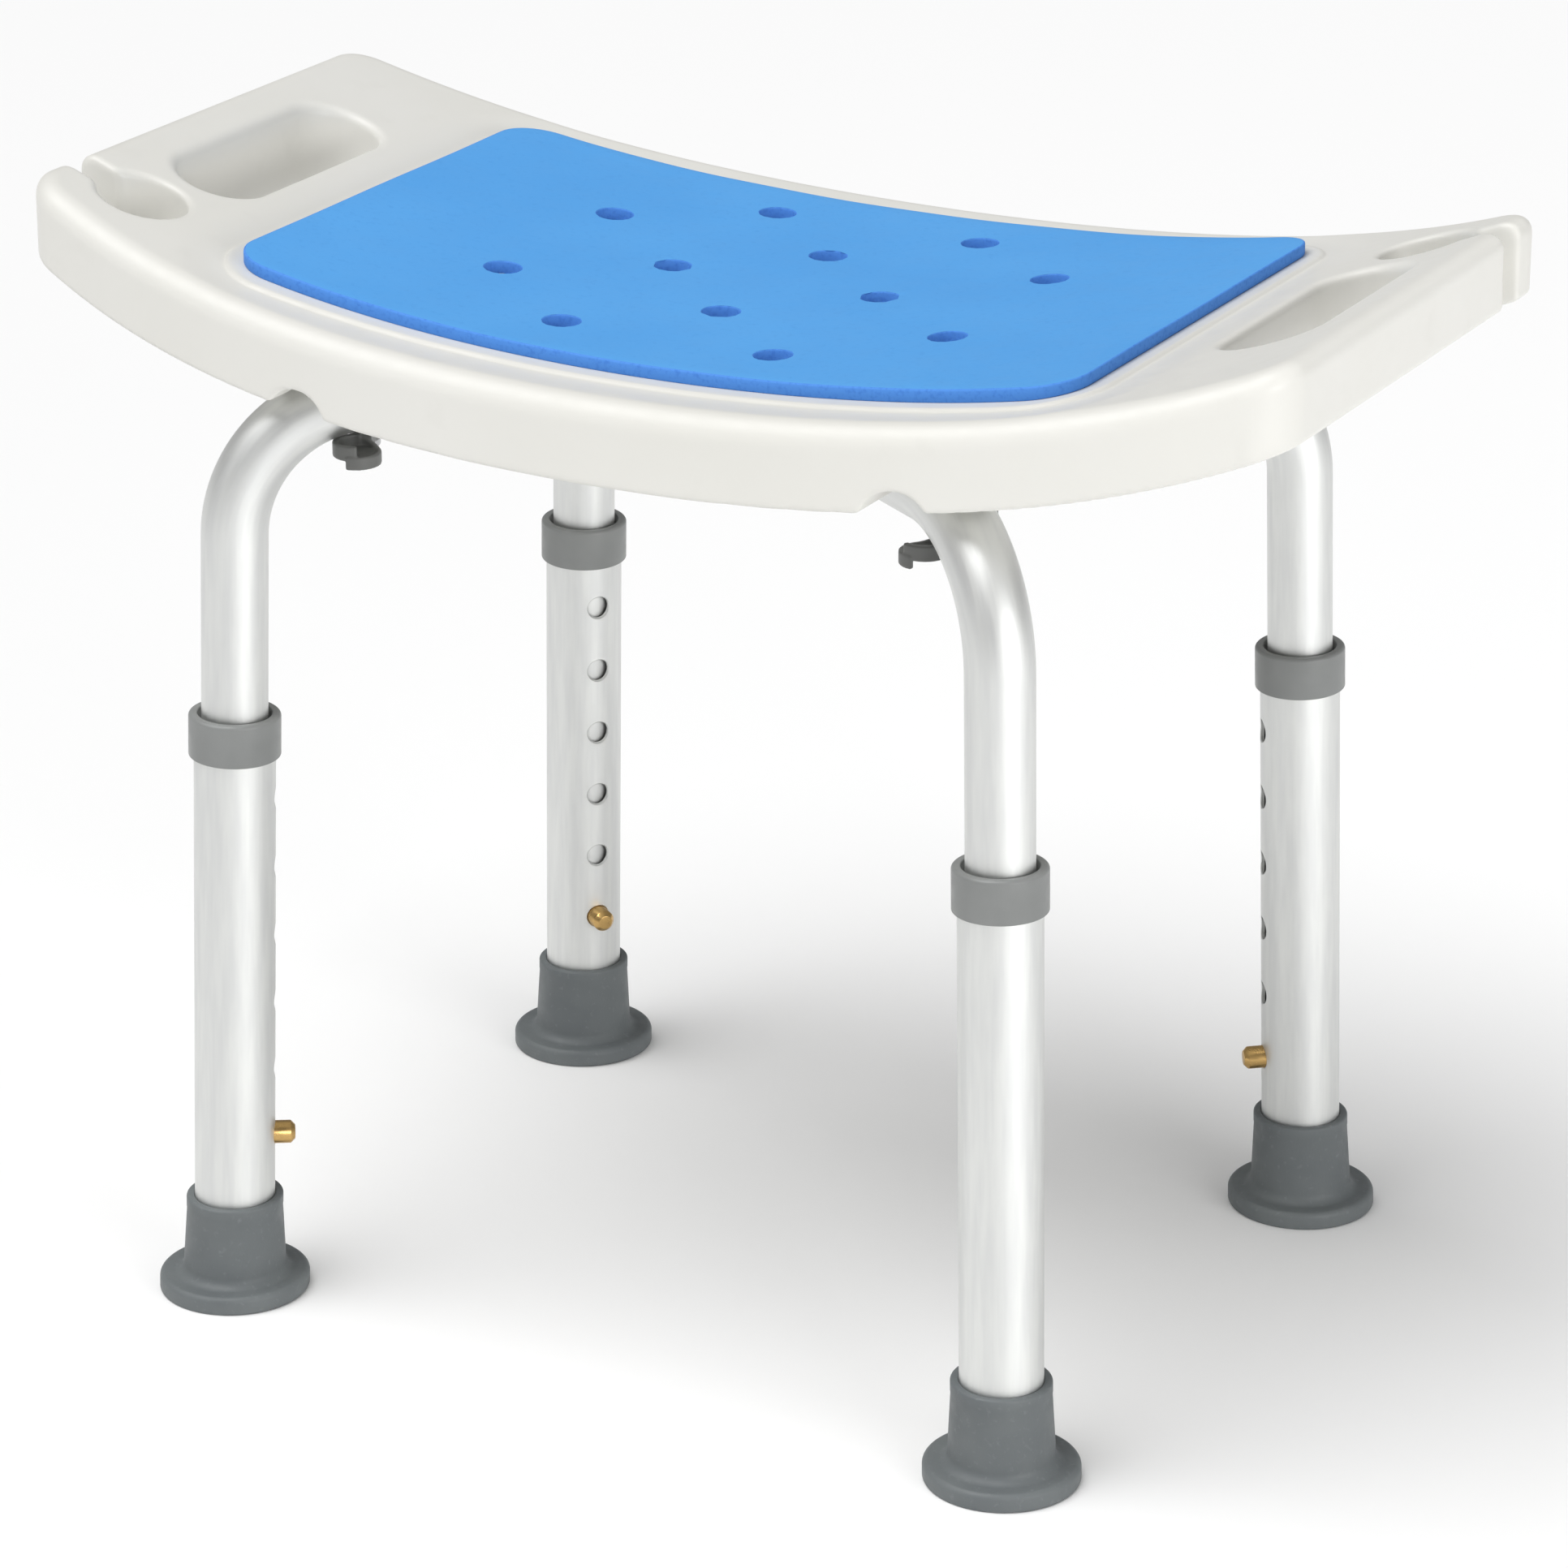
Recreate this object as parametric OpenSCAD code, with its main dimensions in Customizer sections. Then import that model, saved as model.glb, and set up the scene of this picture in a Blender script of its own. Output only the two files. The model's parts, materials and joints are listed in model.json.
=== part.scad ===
// Height-adjustable shower stool: a hollow moulded saddle seat with a foam pad, on four
// telescopic aluminium legs with snap buttons and rubber feet. Millimetres, +Z up, the front
// is -Y, and the origin is on the floor under the middle of the seat.

/* [Seat] */
// Length of the seat, end to end
seat_len = 472; // [460:1:490]
// Depth of the seat at its middle, front to back
seat_depth = 267; // [262:1:276]
// Height of the lower rim at the middle of the seat
seat_under_z = 326.3; // [326:0.1:328]
// Height of the seat's rim wall
rim_h = 29; // [28:0.5:32]
// Radius of the seat's corners seen from above
corner_r = 18; // [12:1:24]
// Wall of the hollow moulding
wall = 2.6; // [2:0.1:3]
// Depth of the shallow gutter round the platform under the pad
gutter_d = 1.3; // [1:0.1:1.6]
// Width of each hand-hold
hand_hold_w = 32; // [26:1:36]
// Length of each hand-hold
hand_hold_len = 103; // [90:1:106]
// Diameter of each shower-head holder
holder_d = 31; // [26:1:32]
// Width of the slot from each holder to the end of the seat
slot_w = 12.4; // [9:0.2:14]

/* [Pad] */
// Length of the foam pad
pad_len = 316; // [300:1:320]
// Depth of the foam pad at its middle
pad_depth = 207; // [190:1:208]
// Thickness of the foam pad
pad_t = 4.4; // [3:0.1:6]
// Diameter of the drain holes in the pad
pad_hole_d = 13; // [10:0.5:15]

/* [Legs] */
// Distance between the feet along the seat
foot_span_x = 305.2; // [300:0.2:310]
// Distance between the feet front to back
foot_span_y = 245.4; // [240:0.2:250]
// Outward lean of each leg, in degrees
splay = 1.9; // [1.5:0.1:2.1]
// Direction of the bent tubes, in degrees from the seat's length
bend_dir = 36; // [35:0.5:37]
// Outer diameter of the lower tube
lower_d = 28.3; // [28:0.1:28.6]
// Outer diameter of the upper tube
upper_d = 23; // [22.8:0.1:23]
// Distance between the height holes
hole_pitch = 25.4; // [25:0.1:25.4]
// Number of height holes in each lower tube
hole_count = 6; // [4:1:6]
// Centreline radius of the bend
bend_r = 49; // [48:1:50]

/* [Feet] */
// Diameter of the rubber foot where it meets the floor
foot_d = 53.2; // [48:0.2:56]
// Height of the rubber foot
foot_h = 35.9; // [32:0.1:38]

/* [Hidden] */
$fn = 64;
CORNERS = ["front_left", "front_right", "back_left", "back_right"];
SIDE_X = [-1, 1, -1, 1];
SIDE_Y = [-1, -1, 1, 1];
PER_LEG = ["upper_tube", "tube_end_plug", "guide_bush", "lower_tube", "collar", "foot",
    "foot_washer", "snap_button", "button_spring", "tube_keeper", "leg_latch"];

// Colours
seat_white = [0.93, 0.93, 0.91];
pad_blue = [0.31, 0.58, 0.88];
tube_silver = [0.8, 0.8, 0.79];
collar_grey = [0.52, 0.53, 0.53];
foot_grey = [0.5, 0.52, 0.54];
latch_grey = [0.3, 0.31, 0.31];
bush_white = [0.85, 0.85, 0.83];
steel = [0.7, 0.7, 0.7];
brass = [0.72, 0.54, 0.3];

// Seat curves. Along the seat, t runs from -1 at one end to 1 at the other.
end_x = seat_len / 2;
edge_bow = [18, 11.6];
rim_rise = [25.8, 12.9];
profile_steps = 46;
plan_step = 15.7;
corner_steps = 8;
over = 5;
through_h = rim_h + 60;

// Pad, the platform it lies on and the gutter round that
pad_bow = 6;
pad_corner_r = 17;
platform_margin = 7;
gutter_w = 12;
pad_hole_cols = [[-85, [-38, 38]], [-40, [-75, 0, 75]], [0, [-38, 38]], [40, [-75, 0, 75]],
    [85, [-38, 38]]];

// Hand-holds, holders and the arches in the rim
hand_hold_x = 200;
holder_pos = [205.5, 77];
arch_x = 112;
arch_r = 12.2;
arch_rise = 7.3;
arch_inner_y = 90;
dimple_pos = [[0, 40], [0, 88], [56, 92], [158, 0], [120, 0], [178, 62]];
dimple_d = 20;
dimple_h = 14;

// Tubes
lower_wall = 1.4;
upper_wall = 1.3;
lower_from = 4.5;
lower_to = 213;
upper_from = 40;
bend_from = 281.4;
run_len = 95;
hole_d = 8.4;
lowest_hole = 58.8;
channel_gap = 0.5;
channel_start = 13;
channel_end = 148;
run_z = bend_from + bend_r;

// Collars, bushes and plugs
collar_d = 31.9;
collar_from = 201.8;
collar_to = 217.2;
collar_edge = 0.9;
collar_bush_from = 193;
slide_fit = 0.12;
turn_fit = 0.16;
collar_bore = upper_d + slide_fit;
bush_d = lower_d - 2 * lower_wall - turn_fit;
bush_wall = 2;
bush_from = 34;
bush_lip = 6;
plug_len = 14;
plug_lip = 2;

// Feet
foot_flange_h = 6.5;
foot_top_d = 33.2;
foot_waist_d = 36.4;
foot_fillet = 4;
foot_edge_r = 1.8;
foot_lip = 0.8;
foot_sink = 0.9;
floor_under_washer = 3;
washer_t = 1.5;
washer_d = 24;
washer_hole_d = 8;

// Snap buttons and their springs
button_d = 8.2;
button_out = 7;
button_chamfer = 1.6;
button_flange_d = 10.6;
button_flange_t = 1.8;
upper_bore_r = upper_d / 2 - upper_wall;
button_seat_r = upper_bore_r - 1.6;
spring_out = button_seat_r - button_flange_t - 0.1;
spring_back = upper_bore_r - 0.9;
spring_t = 0.6;
spring_w = 8;
spring_top = 84;
spring_foot = 54;

// Keepers across the tubes' inner ends
keeper_x = 124;
keeper_w = 16;
keeper_t = 2.6;
keeper_gap = 0.2;
keeper_ear = 28;
keeper_ear_t = 3;
keeper_top = 330.7;
keeper_screw_y = 21.5;
keeper_screw_d = 3.6;
keeper_head_h = 2.2;
keeper_screw_top = 344;

// Latches that swing under the tubes
latch_x = 56;
latch_y = 17.4;
latch_turn = -12;
latch_reach = 23.9;
latch_hub_d = 10;
latch_top = 332.4;
latch_arm_z = 308.4;
latch_arm_t = 5.6;
latch_arm_w = 9;
latch_hook_d = 17;
latch_hook_t = 2.2;
latch_hook_z = 306.6;
latch_web_t = 1.2;
latch_step_x = 2.7;
latch_screw_d = 5;
latch_screw_top = 346;
latch_head_d = 9.4;
latch_head_h = 3;
latch_play = 0.3;

// ---- curves ---------------------------------------------------------------------------

function edge_y(x) =
    let (t = x / end_x) seat_depth / 2 - edge_bow[0] * pow(t, 2) - edge_bow[1] * pow(t, 4);

function edge_slope(x) =
    let (t = x / end_x) (2 * edge_bow[0] * t + 4 * edge_bow[1] * pow(t, 3)) / end_x;

function under_z(x) =
    let (t = x / end_x) seat_under_z + rim_rise[0] * pow(t, 2) + rim_rise[1] * pow(t, 4);

// A closed outline from its points in the +X +Y quarter, listed from +X round to +Y
function four_quarters(q) =
    let (n = len(q)) concat(
        q,
        [for (k = [n - 1:-1:0]) [-q[k][0], q[k][1]]],
        [for (k = [0:n - 1]) [-q[k][0], -q[k][1]]],
        [for (k = [n - 1:-1:0]) [q[k][0], -q[k][1]]]
    );

// One quarter of the seat seen from above, moved in by inset
function seat_quarter(inset) =
    let (
        cx = end_x - corner_r,
        turn = 90 - atan(edge_slope(cx + corner_r / 3)),
        tx = cx + corner_r * cos(turn),
        cy = edge_y(tx) - corner_r * sin(turn),
        r = corner_r - inset
    ) concat(
        [for (k = [0:corner_steps]) let (a = turn * k / corner_steps)
            [cx + r * cos(a), cy + r * sin(a)]],
        [for (x = [tx - plan_step:-plan_step:plan_step / 3]) [x, edge_y(x) - inset]]
    );

// One quarter of the pad, or of a wider outline with a margin round it
function pad_quarter(margin) =
    let (
        half = pad_len / 2 + margin,
        r = pad_corner_r + margin,
        bow_r = (pow(pad_len / 2, 2) + pow(pad_bow, 2)) / (2 * pad_bow),
        top = pad_depth / 2 + margin,
        cx = half - r,
        turn = 90 - asin(cx / bow_r),
        tx = cx + r * cos(turn),
        cy = top - bow_r + sqrt(pow(bow_r, 2) - pow(tx, 2)) - r * sin(turn)
    ) concat(
        [for (k = [0:corner_steps]) let (a = turn * k / corner_steps)
            [cx + r * cos(a), cy + r * sin(a)]],
        [for (x = [tx - plan_step:-plan_step:plan_step / 3])
            [x, top - bow_r + sqrt(pow(bow_r, 2) - pow(x, 2))]]
    );

// ---- building blocks --------------------------------------------------------------------

// A slab that follows the saddle curve, between two heights above the lower rim
module saddle_slab(low, high, half_len = end_x + over) {
    xs = [for (k = [0:profile_steps]) half_len * (2 * k / profile_steps - 1)];
    points = concat(
        [for (x = xs) [x, under_z(x) + low]],
        [for (k = [profile_steps:-1:0]) [xs[k], under_z(xs[k]) + high]]
    );
    rotate([90, 0, 0])
        linear_extrude(height = seat_depth + 2 * over, center = true)
            polygon(points);
}

// A tall prism through the seat, with an opening where a second outline is given
module upright(outline, opening = []) {
    translate([0, 0, seat_under_z - over])
        linear_extrude(height = through_h)
            difference() {
                polygon(outline);
                if (len(opening) > 0)
                    polygon(opening);
            }
}

// The vertical plane of a leg: origin at its foot, +X inwards along the bent tube
module leg_plane(i) {
    translate([SIDE_X[i] * foot_span_x / 2, SIDE_Y[i] * foot_span_y / 2, 0])
        rotate([0, 0, atan2(-SIDE_Y[i] * sin(bend_dir), -SIDE_X[i] * cos(bend_dir))])
            children();
}

// The same plane, mirrored on every other leg so that the stool is symmetric
module handed_plane(i) {
    leg_plane(i)
        mirror([0, SIDE_X[i] * SIDE_Y[i] < 0 ? 1 : 0, 0])
            children();
}

// The leg's own axis: origin at the foot, +Z up along the leaning leg
module leg_axis(i) {
    leg_plane(i)
        rotate([0, splay, 0])
            children();
}

// A rod from one height to another
module rod(d, from, to) {
    translate([0, 0, from])
        cylinder(h = to - from, d = d);
}

module ring(d, bore, from, to) {
    difference() {
        rod(d, from, to);
        rod(bore, from - over, to + over);
    }
}

// The straight part, bend and run of an upper tube, as a solid bar
module bent_bar(d, from, run) {
    rod(d, from, bend_from);
    translate([bend_r, 0, bend_from])
        mirror([1, 0, 0])
            rotate([90, 0, 0])
                rotate_extrude(angle = 90)
                    translate([bend_r, 0])
                        circle(d = d);
    run_start()
        rod(d, 0, run);
}

// Where the straight run leaves the bend, with +Z along the run
module run_start() {
    translate([bend_r, 0, run_z])
        rotate([0, 90, 0])
            children();
}

// A hole square to the leg, on its inner side
module inner_hole(z, d) {
    translate([0, 0, z])
        rotate([0, 90, 0])
            cylinder(h = lower_d, d = d);
}

// ---- seat -------------------------------------------------------------------------------

// Everything that passes through or into the moulding, grown by its wall
module seat_openings(grow) {
    for (side = [-1, 1]) {
        translate([side * hand_hold_x, 0, seat_under_z - over])
            linear_extrude(height = through_h)
                slot_outline(hand_hold_w + 2 * grow, hand_hold_len + 2 * grow);
        translate([side * holder_pos[0], side * holder_pos[1], seat_under_z - over])
            linear_extrude(height = through_h) {
                circle(d = holder_d + 2 * grow);
                translate([side * holder_d, 0])
                    square([2 * holder_d, slot_w + 2 * grow], center = true);
            }
    }
    for (i = [0:3]) {
        tube_channel(i, grow);
        rim_arch(i, grow);
    }
    for (pos = dimple_pos, x = [-1, 1], y = [-1, 1])
        translate([x * pos[0], y * pos[1], under_z(pos[0]) - over])
            cylinder(h = dimple_h + over + grow, d1 = dimple_d + 2 * grow,
                d2 = dimple_d / 2 + 2 * grow);
}

module slot_outline(w, h) {
    square([w, h - w], center = true);
    for (end = [-1, 1])
        translate([0, end * (h - w) / 2])
            circle(d = w);
}

// The channel under the seat that a tube lies in
module tube_channel(i, grow) {
    r = upper_d / 2 + channel_gap + grow;
    leg_axis(i)
        translate([channel_start - grow, 0, run_z])
            rotate([90, 0, 90])
                linear_extrude(height = channel_end - channel_start + 2 * grow) {
                    circle(r = r);
                    translate([-r, -2 * r])
                        square([2 * r, 2 * r]);
                }
}

// The half-round mouth in the long edges of the rim
module rim_arch(i, grow) {
    z = under_z(arch_x) + arch_rise - arch_r;
    y = SIDE_Y[i] * (arch_inner_y + seat_depth) / 2;
    translate([SIDE_X[i] * arch_x, y, z])
        rotate([90, 0, 0])
            cylinder(h = seat_depth - arch_inner_y + 2 * grow, r = arch_r + grow, center = true);
}

// Solid plastic round each screw
module seat_bosses() {
    for (i = [0:3]) {
        handed_plane(i)
            translate([latch_x, latch_y, 0])
                rod(2 * latch_screw_d, latch_top, latch_screw_top + wall);
        leg_axis(i)
            for (side = [-1, 1])
                translate([keeper_x, side * keeper_screw_y, 0])
                    rod(2 * keeper_screw_d, keeper_top, keeper_screw_top + wall);
    }
}

module seat_shell() {
    color(seat_white)
        difference() {
            intersection() {
                saddle_slab(0, rim_h);
                upright(four_quarters(seat_quarter(0)));
            }
            intersection() {
                saddle_slab(rim_h - gutter_d, rim_h + over);
                upright(four_quarters(pad_quarter(platform_margin + gutter_w)),
                    four_quarters(pad_quarter(platform_margin)));
            }
            difference() {
                intersection() {
                    saddle_slab(wall, rim_h - gutter_d - wall);
                    upright(four_quarters(seat_quarter(wall)));
                }
                seat_openings(wall);
                seat_bosses();
            }
            seat_openings(0);
            screw_shanks();
        }
}

module screw_shanks() {
    for (i = [0:3]) {
        handed_plane(i)
            translate([latch_x, latch_y, 0])
                rod(latch_screw_d, latch_top - over, latch_screw_top);
        leg_axis(i)
            for (side = [-1, 1])
                translate([keeper_x, side * keeper_screw_y, 0])
                    rod(keeper_screw_d, keeper_top - over, keeper_screw_top);
    }
}

module seat_pad() {
    color(pad_blue)
        difference() {
            intersection() {
                saddle_slab(rim_h, rim_h + pad_t);
                upright(four_quarters(pad_quarter(0)));
            }
            for (col = pad_hole_cols, y = col[1])
                translate([col[0], y, seat_under_z])
                    cylinder(h = 3 * rim_h, d = pad_hole_d);
        }
}

// ---- under the seat ---------------------------------------------------------------------

module tube_keeper(i) {
    bore_r = upper_d / 2 + keeper_gap;
    color(latch_grey)
        leg_axis(i)
            translate([keeper_x, 0, 0])
                difference() {
                    intersection() {
                        union() {
                            translate([-keeper_w / 2, 0, run_z])
                                rotate([0, 90, 0])
                                    cylinder(h = keeper_w, r = bore_r + keeper_t);
                            translate([-keeper_w / 2, -keeper_ear, keeper_top - keeper_ear_t])
                                cube([keeper_w, 2 * keeper_ear, keeper_ear_t]);
                        }
                        translate([-keeper_w, -2 * keeper_ear, keeper_top - 2 * keeper_w])
                            cube([2 * keeper_w, 4 * keeper_ear, 2 * keeper_w]);
                    }
                    translate([-keeper_w, 0, run_z])
                        rotate([0, 90, 0])
                            cylinder(h = 2 * keeper_w, r = bore_r);
                    for (side = [-1, 1])
                        translate([0, side * keeper_screw_y, 0])
                            rod(keeper_screw_d, keeper_top - 2 * keeper_ear_t, keeper_top + over);
                }
}

// A pan-headed screw, head down, from the underside of its head
module pan_screw(d, head_d, head_h, from, to) {
    union() {
        rod(d, from, to);
        translate([0, 0, from])
            rotate_extrude()
                polygon(concat(
                    [[0, 0]],
                    [[head_d / 2, 0]],
                    [for (a = [0:15:90])
                        [head_d / 2 - head_h * (1 - cos(a)) / 2, -head_h / 2 - head_h * sin(a) / 2]],
                    [[0, -head_h]]
                ));
    }
}

module keeper_screws() {
    color(steel)
        for (i = [0:3], side = [-1, 1])
            leg_axis(i)
                translate([keeper_x, side * keeper_screw_y, 0])
                    pan_screw(keeper_screw_d, 2 * keeper_screw_d, keeper_head_h,
                        keeper_top - keeper_ear_t, keeper_screw_top);
}

module latch_screws() {
    color(steel)
        for (i = [0:3])
            handed_plane(i)
                translate([latch_x, latch_y, 0])
                    pan_screw(latch_screw_d, latch_head_d, latch_head_h,
                        latch_arm_z - latch_play, latch_screw_top);
}

// A hub on its screw, an arm that passes under the tube, and a finger hook
module leg_latch(i) {
    arm_len = latch_reach - (latch_hook_d - latch_hook_t) / 2;
    color(latch_grey)
        handed_plane(i)
            translate([latch_x, latch_y, 0])
                rotate([0, 0, latch_turn])
                    difference() {
                        union() {
                            rod(latch_hub_d, latch_arm_z, latch_top);
                            translate([-latch_arm_w / 2, -arm_len, latch_arm_z])
                                cube([latch_arm_w, arm_len, latch_arm_t]);
                            translate([0, -latch_reach, 0])
                                finger_hook(latch_hook_d, latch_arm_z + latch_arm_t);
                        }
                        rod(latch_screw_d + turn_fit, latch_arm_z - over, latch_top + over);
                    }
}

// A ring with a web across it and a deeper wall on the side that is pulled
module finger_hook(d, top) {
    bore = d - 2 * latch_hook_t;
    difference() {
        union() {
            rod(d, latch_arm_z, top);
            intersection() {
                rod(d, latch_hook_z, top);
                translate([-latch_step_x, -d / 2, latch_hook_z])
                    cube([d, d, top - latch_hook_z]);
            }
        }
        rod(bore, latch_arm_z + latch_web_t, top + over);
        rod(bore, latch_hook_z - over, latch_arm_z);
    }
}

// ---- legs -------------------------------------------------------------------------------

module upper_tube(i) {
    color(tube_silver)
        leg_axis(i)
            difference() {
                bent_bar(upper_d, upper_from, run_len);
                bent_bar(2 * upper_bore_r, upper_from - over, run_len + over);
                inner_hole(lowest_hole, hole_d);
            }
}

module tube_end_plug(i) {
    color(collar_grey)
        leg_axis(i)
            run_start() {
                rod(2 * upper_bore_r, run_len - plug_len, run_len);
                rod(upper_d, run_len, run_len + plug_lip);
            }
}

// The plastic guide pressed into the lower end of the upper tube
module guide_bush(i) {
    color(bush_white)
        leg_axis(i)
            difference() {
                union() {
                    rod(bush_d, bush_from, bush_from + bush_lip);
                    rod(2 * upper_bore_r, bush_from, bush_from + 2 * bush_lip);
                }
                rod(2 * (upper_bore_r - bush_wall), bush_from - over, bush_from + 3 * bush_lip);
            }
}

module lower_tube(i) {
    color(tube_silver)
        leg_axis(i)
            difference() {
                ring(lower_d, lower_d - 2 * lower_wall, lower_from, lower_to);
                for (n = [0:hole_count - 1])
                    inner_hole(lowest_hole + n * hole_pitch, hole_d);
            }
}

// A cap over the lower tube's mouth with a bush that guides the upper tube
module collar(i) {
    edge = collar_edge;
    bore_r = collar_bore / 2;
    tube_r = lower_d / 2;
    inner_r = tube_r - lower_wall;
    color(collar_grey)
        leg_axis(i)
            rotate_extrude()
                polygon([
                    [bore_r, collar_bush_from],
                    [inner_r, collar_bush_from],
                    [inner_r, lower_to],
                    [tube_r, lower_to],
                    [tube_r, collar_from],
                    [collar_d / 2 - edge / 2, collar_from],
                    [collar_d / 2, collar_from + edge / 2],
                    [collar_d / 2, collar_to - edge],
                    [collar_d / 2 - edge * 0.3, collar_to - edge * 0.3],
                    [collar_d / 2 - edge, collar_to],
                    [bore_r + edge / 2, collar_to],
                    [bore_r, collar_to - edge / 2]
                ]);
}

// The rubber tip: a flat flange on the floor, blended into a sleeve along the leg
module foot(i) {
    color(foot_grey)
        difference() {
            union() {
                leg_foot(i)
                    rotate_extrude()
                        polygon(flange_profile());
                leg_axis(i)
                    rotate_extrude()
                        polygon(sleeve_profile());
            }
            leg_axis(i)
                rod(lower_d, floor_under_washer, foot_h + over);
        }
}

module leg_foot(i) {
    translate([SIDE_X[i] * foot_span_x / 2, SIDE_Y[i] * foot_span_y / 2, 0])
        children();
}

function flange_profile() =
    let (r = foot_d / 2, e = foot_edge_r) concat(
        [[0, 0], [r - e / 2, 0], [r, e / 2]],
        [for (a = [0:18:90])
            [r - e * (1 - cos(a)), foot_flange_h - e * (1 - sin(a))]],
        [[0, foot_flange_h]]
    );

function sleeve_profile() =
    let (
        low = foot_waist_d / 2,
        top = foot_top_d / 2,
        from = foot_flange_h - foot_sink,
        edge = foot_lip
    ) concat(
        [[0, from], [low + foot_fillet, from]],
        [for (a = [0:15:75])
            [low + foot_fillet * (1 - sin(a)), from + foot_fillet * (1 - cos(a)) + foot_sink]],
        [[top, foot_h - edge], [top - edge * 0.3, foot_h - edge * 0.3], [top - edge, foot_h],
            [0, foot_h]]
    );

module foot_washer(i) {
    color(steel)
        leg_axis(i)
            ring(washer_d, washer_hole_d, floor_under_washer, floor_under_washer + washer_t);
}

// ---- snap buttons -----------------------------------------------------------------------

// A brass pin with a flange inside the upper tube
module snap_button(i) {
    tip = lower_d / 2 + button_out;
    r = button_d / 2;
    color(brass)
        leg_axis(i)
            translate([0, 0, lowest_hole])
                rotate([0, 90, 0])
                    rotate_extrude()
                        polygon([
                            [0, button_seat_r - button_flange_t],
                            [button_flange_d / 2, button_seat_r - button_flange_t],
                            [button_flange_d / 2, button_seat_r],
                            [r, button_seat_r],
                            [r, tip - button_chamfer],
                            [r - button_chamfer * 0.3, tip - button_chamfer * 0.4],
                            [r - button_chamfer, tip],
                            [0, tip]
                        ]);
}

// A strip bent into a narrow V that presses the button outwards
module button_spring(i) {
    bend = (spring_out + spring_back) / 2;
    color(steel)
        leg_axis(i)
            rotate([90, 0, 0])
                linear_extrude(height = spring_w, center = true) {
                    translate([spring_out - spring_t, spring_foot])
                        square([spring_t, spring_top - spring_foot]);
                    translate([-spring_back, spring_foot])
                        square([spring_t, spring_top - spring_foot]);
                    translate([spring_out - bend, spring_top])
                        difference() {
                            circle(r = bend);
                            circle(r = bend - spring_t);
                            translate([-2 * bend, -2 * bend])
                                square([4 * bend, 2 * bend]);
                        }
                }
}

// ---- assembly ---------------------------------------------------------------------------

module per_leg(name, i) {
    if (name == "upper_tube") upper_tube(i);
    if (name == "tube_end_plug") tube_end_plug(i);
    if (name == "guide_bush") guide_bush(i);
    if (name == "lower_tube") lower_tube(i);
    if (name == "collar") collar(i);
    if (name == "foot") foot(i);
    if (name == "foot_washer") foot_washer(i);
    if (name == "snap_button") snap_button(i);
    if (name == "button_spring") button_spring(i);
    if (name == "tube_keeper") tube_keeper(i);
    if (name == "leg_latch") leg_latch(i);
}

seat_shell();
seat_pad();
latch_screws();
keeper_screws();
for (name = PER_LEG, i = [0:3])
    per_leg(name, i);
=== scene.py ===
"""A height-adjustable shower stool: moulded saddle seat, foam pad and four telescopic legs.

Lengths in this script are in millimetres, in the frame of the CAD model, until a mesh is made.
"""
import json
import math

import bpy
import numpy as np
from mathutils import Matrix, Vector
from mathutils.geometry import delaunay_2d_cdt


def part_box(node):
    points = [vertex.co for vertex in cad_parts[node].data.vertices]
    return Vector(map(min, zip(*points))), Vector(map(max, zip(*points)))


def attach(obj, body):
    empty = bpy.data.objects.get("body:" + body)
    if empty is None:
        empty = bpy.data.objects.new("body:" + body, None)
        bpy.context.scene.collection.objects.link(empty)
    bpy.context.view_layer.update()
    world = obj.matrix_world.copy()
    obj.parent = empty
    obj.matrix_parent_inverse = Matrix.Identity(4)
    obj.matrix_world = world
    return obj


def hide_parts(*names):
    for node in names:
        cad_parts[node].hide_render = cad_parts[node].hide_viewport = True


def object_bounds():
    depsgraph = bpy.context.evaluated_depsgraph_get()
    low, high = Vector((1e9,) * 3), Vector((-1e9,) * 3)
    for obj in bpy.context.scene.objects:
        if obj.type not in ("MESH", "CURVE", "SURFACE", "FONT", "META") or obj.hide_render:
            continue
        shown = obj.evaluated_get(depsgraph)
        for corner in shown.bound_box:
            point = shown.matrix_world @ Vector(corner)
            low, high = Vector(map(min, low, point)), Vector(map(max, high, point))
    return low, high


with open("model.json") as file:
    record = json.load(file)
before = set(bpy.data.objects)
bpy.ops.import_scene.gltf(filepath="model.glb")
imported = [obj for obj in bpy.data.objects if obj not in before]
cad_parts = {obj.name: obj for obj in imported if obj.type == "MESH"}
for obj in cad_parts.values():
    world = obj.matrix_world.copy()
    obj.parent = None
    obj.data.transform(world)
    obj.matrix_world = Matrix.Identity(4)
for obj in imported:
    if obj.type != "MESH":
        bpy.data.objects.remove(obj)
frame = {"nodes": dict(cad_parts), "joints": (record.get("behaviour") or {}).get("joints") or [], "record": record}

MM = 0.001
RECORD = frame["record"]
CORNERS = ("front_left", "front_right", "back_left", "back_right")
MIRRORED = ("front_right", "back_left")
CAD_LOW, CAD_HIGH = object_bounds()
SEAT_LOW, SEAT_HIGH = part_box("seat_shell")

# ---- sizes ------------------------------------------------------------------------------

# Seat
END_X = SEAT_HIGH.x / MM
HALF_DEPTH = SEAT_HIGH.y / MM
UNDER_Z = SEAT_LOW.z / MM
EDGE_DRAW = (18.0, 11.6)
SADDLE_RISE = (25.8, 12.9)
RIM_H = 29.0
CORNER_R = 18.0
TOP_EDGE_R = 8.5
UNDER_EDGE_R = 1.3
HAND_HOLD = {"x": 200.0, "w": 32.0, "len": 103.0, "rim": 3.2}
HOLDER = {"x": 205.5, "y": 77.0, "r": 15.5, "slot": 6.2, "rim": 2.2}
ARCH = {"x": 112.0, "r": 12.2, "rise": 7.3, "from_y": 90.0}
CHANNEL = {"r": 12.0, "start": 13.0, "end": 148.0}
DIMPLES = ((0, 40), (0, 88), (56, 92), (158, 0), (120, 0), (178, 62))
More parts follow.
